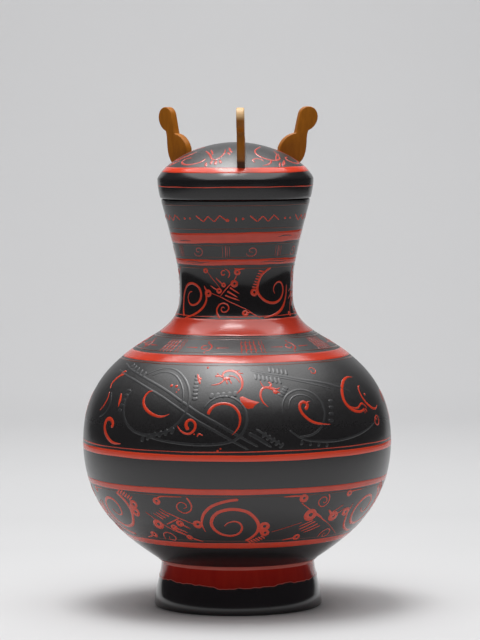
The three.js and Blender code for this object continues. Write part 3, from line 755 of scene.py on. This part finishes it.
class JarColours(bpy.types.PropertyGroup):
    red: FloatVectorProperty(name="Red", description="Red paint", subtype="COLOR", default=(0.82, 0.068, 0.026))
    # Dark red also carries the painted shade from the shoulder band up to the collar
    red_dark: FloatVectorProperty(name="Dark red", description="Red paint where it is thin", subtype="COLOR",
                                  default=(0.44, 0.03, 0.013))
    crimson: FloatVectorProperty(name="Crimson", description="Red coat of the foot", subtype="COLOR",
                                 default=(0.36, 0.004, 0.001))
    crimson_light: FloatVectorProperty(name="Light crimson", description="Red coat where it ran thin",
                                       subtype="COLOR", default=(0.55, 0.022, 0.008))
    black: FloatVectorProperty(name="Black", description="Black lacquer", subtype="COLOR",
                               default=(0.008, 0.007, 0.0075))
    black_worn: FloatVectorProperty(name="Worn black", description="Black lacquer where it is rubbed",
                                    subtype="COLOR", default=(0.016, 0.0145, 0.0155))
    # Grey of the shoulder, the upper belly and the dome: dull haze and a painted sheen
    dust_and_sheen: FloatVectorProperty(name="Haze", description="Dull haze on the shoulder and the dome",
                              subtype="COLOR", default=(0.05, 0.05, 0.051))
    ochre: FloatVectorProperty(name="Ochre", description="Finials, light", subtype="COLOR",
                               default=(0.46, 0.16, 0.014))
    ochre_dark: FloatVectorProperty(name="Dark ochre", description="Finials, dark", subtype="COLOR",
                                    default=(0.2, 0.062, 0.005))


def lacquer_of():
    return bpy.data.materials.get("jar_black") or body_lacquer(bpy.context.scene.jar_colours)


def red_of():
    colours = bpy.context.scene.jar_colours
    return bpy.data.materials.get("jar_red") or paint("jar_red", colours.red, colours.red_dark)


def faded_of():
    return bpy.data.materials.get("jar_faded") or paint("jar_faded", (0.2, 0.05, 0.03), (0.06, 0.022, 0.016))


# Light pink for the foot's lip and bead: a painted highlight
def lip_highlight_of():
    return bpy.data.materials.get("jar_lip_highlight") or paint("jar_lip_highlight", (0.72, 0.2, 0.16), (0.55, 0.1, 0.075))


def muted_of():
    return bpy.data.materials.get("jar_muted") or paint("jar_muted", (0.6, 0.1, 0.08), (0.3, 0.05, 0.04))


def eased(node, width):
    """A copy of a node's mesh with its sharp edges rounded over."""
    data = node.data.copy()
    thing = bpy.data.objects.new(node.name + "_eased", data)
    bpy.context.scene.collection.objects.link(thing)
    only(thing)
    bpy.ops.object.mode_set(mode="EDIT")
    bpy.ops.mesh.select_all(action="SELECT")
    bpy.ops.mesh.remove_doubles(threshold=2e-6)
    bpy.ops.mesh.normals_make_consistent(inside=False)
    bpy.ops.mesh.dissolve_limited(angle_limit=math.radians(0.5))
    bpy.ops.object.mode_set(mode="OBJECT")
    bevel = thing.modifiers.new("Edge", "BEVEL")
    bevel.width = width
    bevel.segments = 3
    bevel.limit_method = "ANGLE"
    bevel.angle_limit = math.radians(40)
    bpy.ops.object.modifier_apply(modifier=bevel.name)
    bpy.ops.object.shade_smooth_by_angle(angle=math.radians(30))
    return thing


class JAR_OT_body(bpy.types.Operator):
    """Turned sections of the jar"""
    bl_idname = "jar.body"
    bl_label = "Body"

    def execute(self, context):
        steps = context.scene.jar_sizes.segments
        lacquer = lacquer_of()
        foot = [(66.3, 52), (66.3, 40), (74.3, 21), (82.3, 0), (92.8, 0), (94.2, 0.5), (95.1, 1.8), *FOOT]
        settle(turned("foot", foot[::-1], steps), "jar", "black_lacquer", lacquer, "foot_ring")
        bowl = inset(BOWL, WALL)
        inner = [p for p in bowl if 62 < p[1] < 177]
        profile = [(54, 62), (54, 54), (48, 54), (48, 44), (66, 44), (66, 52), *BOWL, (170.5, 188),
                   (170.5, 177), *inner[::-1]]
        settle(turned("bowl", profile, steps), "jar", "black_lacquer", lacquer, "belly_lower")
        shell = inset(BELLY + SWEEP[1:], WALL)
        inner = [p for p in shell if 178 < p[1] < 341]
        outer = BELLY + between(SWEEP[1:], 300, NECK_JOINT_Z)
        seat = surface(341)[0] - WALL / 2
        profile = [(166, 177), (170.2, 177), (170.2, 188), *outer, (surface(330)[0], 330), (seat, 330),
                   (seat, 341), *inner[::-1]]
        settle(turned("shoulder", profile, steps), "jar", "black_lacquer", lacquer, "belly_upper")
        outer = between(SWEEP + FLARE[1:], 330.01, MOUTH_JOINT_Z - 0.01)
        shell = inset(SWEEP + FLARE[1:], WALL)
        inner = [p for p in shell if 341 < p[1] < 456]
        lap = surface(450)[0] - WALL / 2
        profile = [(seat + 0.3, 330), (surface(330)[0], 330), *outer, (surface(450)[0], 450), (lap, 450),
                   (lap, 456), *inner[::-1], (seat + 0.3, 341)]
        settle(turned("neck_tube", profile, steps), "jar", "black_lacquer", lacquer, "neck")
        outer = between(FLARE, 450.01, 460.9)
        profile = [(lap + 0.3, 450), (surface(450)[0], 450), *outer, (84.2, 461.6), (83.5, 462.1),
                   (82.4, 462.3), (70.5, 462.3), (70, 462), (70, 456), (lap + 0.3, 456)]
        settle(turned("mouth", profile, steps), "jar", "black_lacquer", lacquer, "mouth_ring")
        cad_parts["floor_disc"].data.materials.clear()
        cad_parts["floor_disc"].data.materials.append(red_of())
        return {"FINISHED"}


class JAR_OT_lid(bpy.types.Operator):
    """Turned sections of the lid"""
    bl_idname = "jar.lid"
    bl_label = "Lid"

    def execute(self, context):
        steps = context.scene.jar_sizes.segments
        lacquer = lacquer_of()
        plug = [(68.4, 444), (69.1, 444.8), (69.4, 446), (69.4, 477), (63.4, 477), (63.4, 444.6), (64, 444)]
        settle(turned("plug", plug, steps), "lid_plug", "red_lacquer", red_of(), "lid_plug_ring")
        rim = [(69.7, 462.8), (82.8, 462.8), (84.4, 463.3), (85.2, 464.1), *LID_SIDE, (78.3, 485), (78.3, 477),
               (69.7, 477)]
        settle(turned("rim", rim, steps), "lid", "black_lacquer", lacquer, "lid_rim")
        rise = 39.3
        hollow = (62 ** 2 + rise ** 2) / (2 * rise)
        full = math.pi / 2 + math.asin((hollow - rise) / hollow) if rise > hollow else math.asin(62 / hollow)
        under = [(hollow * math.sin(full * i / 24), 516.3 - hollow + hollow * math.cos(full * i / 24))
                 for i in range(25)]
        dome = [(62, 477), (78, 477), (78, 485), *LID_SHOULDER, *CAP[1:], *under[:-1]]
        settle(turned("dome", dome, steps), "lid", "black_lacquer", lacquer, "lid_dome")
        colours = context.scene.jar_colours
        gold = ochre(colours)
        cane = bamboo()
        for name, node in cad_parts.items():
            if name.startswith("finial") and "peg" in name:
                node.data.materials.clear()
                node.data.materials.append(cane)
        for side in ("front", "right", "left"):
            name = "finial_" + side
            settle(eased(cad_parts[name], 0.0011), "lid", "ochre_lacquer", gold, name)
        return {"FINISHED"}


class JAR_OT_bands(bpy.types.Operator):
    """Painted bands and fine lines round the jar and the lid"""
    bl_idname = "jar.bands"
    bl_label = "Bands"

    def execute(self, context):
        red = red_of()
        for name, body, bands in (("bands_jar", "jar", JAR_BANDS), ("bands_lid", "lid", LID_BANDS)):
            brush = Brush(bands[0][0], 100, 0.18)
            for k, (low, high, tilt) in enumerate(bands):
                brush.ring(low, high, tilt, min(0.22, (high - low) * 0.12 + 0.08), 1.0 + 1.7 * k)
            settle(brush.mesh(name), body, "red_lacquer", red)
        brush = Brush(80, 100, 0.16)
        for k, (low, high, tilt) in enumerate(FADED_LINES):
            brush.ring(low, high, tilt, 0.2, 2.0 + 1.3 * k)
        settle(brush.mesh("faded_lines"), "jar", "red_lacquer", faded_of())
        # The lip along the wavy edge and the bead atop the foot take a painted highlight in light pink
        edge = Brush(20, 92, 0.3)
        loop = []
        for k in range(241):
            turn = 2 * math.pi * k / 240
            loop.append((turn * edge.radius, arc_of(drip(turn)) - edge.start))
        edge.stroke(loop, (1.0, 1.0, 1.0), 4.0)
        settle(edge.mesh("foot_lip"), "jar", "red_lacquer", lip_highlight_of())
        bead = [(86.2, 49.5), (87.2, 50.8), (87.9, 52.0), (89.0, 53.2), (90.6, 54.4), (89.5, 55.2), (86, 52.5)]
        settle(turned("foot_bead", bead, context.scene.jar_sizes.segments), "jar", "red_lacquer", lip_highlight_of())
        gaps = Brush(386, 72, 0.3)
        for points, width in BAND_GAPS:
            gaps.stroke(points, width)
            gaps.stroke([(u + math.pi * gaps.radius, v) for u, v in points], width)
        settle(gaps.mesh("band_gaps"), "jar", "black_lacquer", lacquer_of())
        return {"FINISHED"}


class JAR_OT_ornament(bpy.types.Operator):
    """Painted ornament of the lower belly, the belly and the shoulder"""
    bl_idname = "jar.ornament"
    bl_label = "Belly ornament"

    def execute(self, context):
        red = red_of()
        low = Brush(92, 156)
        for shift, next_gap in ((0, 182), (343, 160), (664, 161)):
            low.use(shift)
            self.coil(low)
            low.use(shift, 1.0 if next_gap > 170 else 0.93)
            low.many(CROSSING_RIGHT)
            for bead in CROSSING_RIGHT_BEADS:
                low.bead(*bead)
            low.use(shift)
            low.many(CROSSING_LEFT)
            for bead in CROSSING_LEFT_BEADS:
                low.bead(*bead)
            low.use(shift + next_gap, mirror=55)
            self.coil(low)
        settle(low.mesh("ornament_low"), "jar", "red_lacquer", red)
        belly = Brush(193, 165)
        half = math.pi * belly.radius
        for shift in (0, half):
            belly.use(shift)
            belly.many(BELLY_STROKES)
            belly.fill(PATCH)
            for dot in BELLY_DOTS:
                belly.dot(*dot)
        for shift in (-half * 0.5, half * 0.5):
            belly.use(shift, 0.8)
            belly.stroke(BELLY_STROKES[0][0], BELLY_STROKES[0][1])
            belly.stroke(BELLY_STROKES[6][0], BELLY_STROKES[6][1])
        settle(belly.mesh("ornament_belly"), "jar", "red_lacquer", red)
        relief = Brush(193, 165, 0.2)
        for shift in (0, half):
            relief.use(shift)
            for points, width in RELIEF_LINES:
                relief.stroke(points, width, 2.4)
            for tooth in RELIEF_TEETH:
                first, last, reach, count, width = tooth
                relief.comb(first, last, reach, count, (width * 0.9, width * 1.25, width))
        relief_paint = bpy.data.materials.get("jar_relief") or dark_paint()
        settle(relief.mesh("relief_belly"), "jar", "black_lacquer", relief_paint)
        frieze = Brush(295, 104)
        for u in (-33, 63, 156, 249, 342, 434, 527):
            frieze.use(u + 33)
            frieze.many([
                ([(-34, 20), (-29.5, 17), (-27.3, 12), (-29, 7), (-34, 4)], (0.8, 1.9, 0.8)),
                ([(-33, 15), (-37, 15), (-39, 11.5), (-37, 8.5), (-33.5, 8.5), (-31.5, 11.5)], (0.9, 1.7, 0.9)),
                ([(-58, 10.8), (-50, 11), (-43.5, 10.6)], (0.4, 1.1, 2.8)),
                ([(-8, 10.6), (-15, 10.8), (-22, 10.5)], (0.4, 1.1, 2.8))])
            frieze.dot(-33, 21.8, 1.1)
            frieze.dot(-33, 1.4, 1.1)
        settle(frieze.mesh("ornament_frieze"), "jar", "red_lacquer", red)
        bars = Brush(295, 104, 0.18)
        for u in (-33, 63, 156, 249, 342, 434, 527):
            bars.use(u + 33)
            for x, width in ((5.5, 1.0), (10.5, 1.2), (15.5, 1.1), (20.5, 1.2), (26.5, 0.8), (30, 0.6)):
                bars.stroke([(x + 0.7, 0), (x - 0.6, 3.5), (x + 0.7, 7), (x - 0.5, 10.5), (x + 0.7, 14),
                             (x - 0.5, 18), (x + 0.5, 21.5), (x, 25)], width * 1.25)
            for v in (7, 14, 20.5):
                bars.stroke([(5, v), (12, v + 0.5), (20.5, v - 0.2)], 0.6)
        settle(bars.mesh("bars_frieze"), "jar", "red_lacquer", red)
        return {"FINISHED"}

    @staticmethod
    def coil(brush):
        """The big spiral with its arm, its eye beads and its comb."""
        brush.stroke(COIL, (1.2, 4.3, 4.2))
        brush.stroke(COIL_ARM, (3.6, 3.8, 0.8))
        brush.bead(-45.5, 23, 5.6)
        brush.bead(31, 20, 6.4)
        brush.bead(33, 10, 5.4)
        brush.stroke([(25, 16), (28, 13), (29, 8)], (4, 5, 3))
        brush.comb((28.5, 5), (13, -3.5), (6, -5), 6, (2.6, 2.3, 0.8))


class JAR_OT_neck_ornament(bpy.types.Operator):
    """Painted ornament of the neck and the mouth"""
    bl_idname = "jar.neck_ornament"
    bl_label = "Neck ornament"

    def execute(self, context):
        red = red_of()
        neck = Brush(331, 65)
        turn = 2 * math.pi * neck.radius
        for shift in (0, turn / 2):
            neck.use(shift)
            neck.many(NECK_LEFT)
            for bead in NECK_LEFT_BEADS:
                neck.bead(*bead)
            neck.many(NECK_RIGHT)
            neck.bead(21, 29.5, 4.4)
            neck.comb((24.5, 34.5), (32, 52.5), (-6.4, 1.2), 7, (1.8, 1.7, 0.8))
            neck.use(shift + turn / 4, 0.9, mirror=57)
            neck.many(NECK_LEFT[2:])
            for bead in NECK_LEFT_BEADS[1:]:
                neck.bead(*bead)
        settle(neck.mesh("ornament_neck"), "jar", "red_lacquer", red)
        top = Brush(386, 72)
        turn = 2 * math.pi * top.radius
        for k in range(8):
            top.use((k * turn / 8) if k else 0)
            top.stroke([(-42, 61.5), (-34, 54.5)], (1.6, 1.7, 1.2))
            top.stroke([(-34, 54.5), (-28.5, 61)], (1.2, 1.7, 1.2))
            top.stroke([(-28.5, 61), (-22, 54.5)], (1.4, 1.3, 1.0))
            top.stroke([(-22, 54.5), (-16, 62)], (1.2, 1.6, 1.2))
            top.stroke([(-16, 62), (-9, 56)], (1.2, 1.4, 1.8))
            if k % 2 == 0:
                top.dot(-8.3, 56.3, 2.0)
                top.stroke([(0.5, 54.8), (0.7, 57.5), (0.5, 60)], 2.0)
                top.dot(7.5, 58, 1.5)
            else:
                top.dot(-1, 57.8, 1.4)
                top.dot(6.5, 58, 1.2)
        settle(top.mesh("ornament_mouth"), "jar", "red_lacquer", red)
        small = Brush(386, 72, 0.18)
        for k in range(7):
            small.use(k * turn / 7)
            small.stroke([(12, 18), (14.5, 15), (19.5, 14.6), (23.6, 17.5), (23.5, 22), (20, 24), (16, 22.5),
                          (16.5, 19.5), (20, 19.3)], (0.8, 1.4, 0.9))
            for x, width in ((-15.5, 0.6), (-12, 1.2), (-10, 0.6), (-7.5, 0.6)):
                small.stroke([(x, 13.5), (x + 0.4, 20), (x, 26.5)], width)
        settle(small.mesh("frieze_neck"), "jar", "red_lacquer", muted_of())
        return {"FINISHED"}


class JAR_OT_lid_ornament(bpy.types.Operator):
    """Painted ornament of the lid's dome"""
    bl_idname = "jar.lid_ornament"
    bl_label = "Lid ornament"

    def execute(self, context):
        dome = Brush(478, 60)
        for k in range(3):
            dome.use(k * 2 * math.pi * dome.radius / 3)
            for points, width in DOME_STROKES:
                dome.stroke(points, tuple(0.9 * w for w in width))
        settle(dome.mesh("ornament_dome"), "lid", "red_lacquer", muted_of())
        return {"FINISHED"}


class JAR_OT_stage(bpy.types.Operator):
    """Floor, backdrop, lights and camera"""
    bl_idname = "jar.stage"
    bl_label = "Stage"

    def execute(self, context):
        scene = context.scene
        bpy.ops.object.select_all(action="DESELECT")
        bpy.ops.mesh.primitive_plane_add(size=1, location=(0, 0, 0))
        floor = context.object
        floor.name = "floor"
        for vertex, (x, y) in zip(floor.data.vertices, ((-1.8, -2.2), (1.8, -2.2), (-1.8, 2.2), (1.8, 2.2))):
            vertex.co = (x, y, -0.0002)
        bpy.ops.object.mode_set(mode="EDIT")
        bpy.ops.mesh.select_all(action="DESELECT")
        bpy.ops.object.mode_set(mode="OBJECT")
        for edge in floor.data.edges:
            edge.select = all(floor.data.vertices[v].co.y > 2 for v in edge.vertices)
        bpy.ops.object.mode_set(mode="EDIT")
        for k in range(8):
            a = math.radians(90 * (k + 0.5) / 8)
            bpy.ops.mesh.extrude_region_move(
                TRANSFORM_OT_translate={"value": (0, 0.16 * math.cos(a), 0.16 * math.sin(a))})
        bpy.ops.mesh.extrude_region_move(TRANSFORM_OT_translate={"value": (0, 0, 3)})
        bpy.ops.object.mode_set(mode="OBJECT")
        bpy.ops.object.shade_smooth()
        s = Shader("studio_paper")
        x, y, z = s.axes()
        # Paper tone graded against the lamps: painted shade on the floor towards the back, painted light up the
        # backdrop
        near = s.mix(((y + 0.1) * 1.67).clamped(), (0.64, 0.64, 0.645, 1), (0.58, 0.58, 0.585, 1))
        far = ((y - 0.8) * 0.62).clamped() * 0.95 + s.noise(3.0) * 0.05
        paper = s.node("ShaderNodeBsdfPrincipled", Base_Color=s.mix(far, near, (0.8, 0.8, 0.808, 1)),
                       Roughness=0.8)
        # Clear from behind, so that it hides nothing from the back or from below
        behind = s.node("ShaderNodeNewGeometry", output="Backfacing")
        seen = s.node("ShaderNodeLightPath", output="Is Camera Ray")
        blend = s.tree.nodes.new("ShaderNodeMixShader")
        put(s.tree, blend.inputs[0], behind * seen)
        put(s.tree, blend.inputs[1], paper)
        put(s.tree, blend.inputs[2], s.node("ShaderNodeBsdfTransparent"))
        floor.data.materials.append(s.show(Socket(s.tree, blend.outputs[0])))
        for name, place, size, power, aim in (
                ("overhead", (0, -0.4, 2.0), (2.9, 2.2), 43, (0, -0.4, 0)),
                ("key", (-0.12, -0.06, 1.96), (0.95, 0.55), 18, (-0.05, -0.05, 0)),
                ("back_wash", (0, 0.9, 2.1), (2.6, 0.7), 30, (0, 2.4, 0.6))):
            data = bpy.data.lights.new(name, "AREA")
            data.shape = "RECTANGLE"
            data.size, data.size_y = size
            data.energy = power
            lamp = bpy.data.objects.new(name, data)
            lamp.location = place
            lamp.rotation_euler = (Vector(aim) - Vector(place)).to_track_quat("-Z", "Y").to_euler()
            scene.collection.objects.link(lamp)
        # A dim room, which the camera sees as pale
        world = bpy.data.worlds.new("room")
        world.use_nodes = True
        tree = world.node_tree
        room = tree.nodes["Background"]
        room.inputs[0].default_value = (0.5, 0.5, 0.52, 1)
        room.inputs[1].default_value = 0.08
        pale = tree.nodes.new("ShaderNodeBackground")
        pale.inputs[0].default_value = (0.6, 0.6, 0.61, 1)
        seen = tree.nodes.new("ShaderNodeLightPath")
        blend = tree.nodes.new("ShaderNodeMixShader")
        tree.links.new(seen.outputs["Is Camera Ray"], blend.inputs[0])
        tree.links.new(room.outputs[0], blend.inputs[1])
        tree.links.new(pale.outputs[0], blend.inputs[2])
        tree.links.new(blend.outputs[0], tree.nodes["World Output"].inputs[0])
        scene.world = world
        camera = bpy.data.objects.new("camera", bpy.data.cameras.new("camera"))
        camera.data.lens = 198.7
        turn = Matrix.Rotation(math.radians(86.06), 4, "X") @ Matrix.Rotation(math.radians(-0.37), 4, "Z")
        camera.matrix_world = Matrix.Translation((0.0042, -4.0, 0.6)) @ turn
        camera.data.clip_end = 50
        scene.collection.objects.link(camera)
        scene.camera = camera
        scene.view_settings.view_transform = "Standard"
        return {"FINISHED"}


class JAR_PT_panel(bpy.types.Panel):
    """Sidebar panel of the jar"""
    bl_label = "Lacquer jar"
    bl_idname = "JAR_PT_panel"
    bl_space_type = "VIEW_3D"
    bl_region_type = "UI"
    bl_category = "Jar"

    def draw(self, context):
        for group in (context.scene.jar_sizes, context.scene.jar_colours):
            for key in group.__annotations__:
                self.layout.prop(group, key)
        for operator in OPERATORS:
            self.layout.operator(operator.bl_idname)


OPERATORS = (JAR_OT_stage, JAR_OT_body, JAR_OT_lid, JAR_OT_bands, JAR_OT_ornament, JAR_OT_neck_ornament,
             JAR_OT_lid_ornament)
CLASSES = (JarSizes, JarColours, *OPERATORS, JAR_PT_panel)


def register():
    for cls in CLASSES:
        bpy.utils.register_class(cls)
    bpy.types.Scene.jar_sizes = PointerProperty(type=JarSizes)
    bpy.types.Scene.jar_colours = PointerProperty(type=JarColours)


def unregister():
    del bpy.types.Scene.jar_sizes
    del bpy.types.Scene.jar_colours
    for cls in reversed(CLASSES):
        bpy.utils.unregister_class(cls)


def main():
    register()
    bpy.ops.jar.stage()
    bpy.ops.jar.body()
    bpy.ops.jar.lid()
    bpy.ops.jar.bands()
    bpy.ops.jar.ornament()
    bpy.ops.jar.neck_ornament()
    bpy.ops.jar.lid_ornament()
    bpy.context.view_layer.update()


if __name__ == "__main__":
    main()
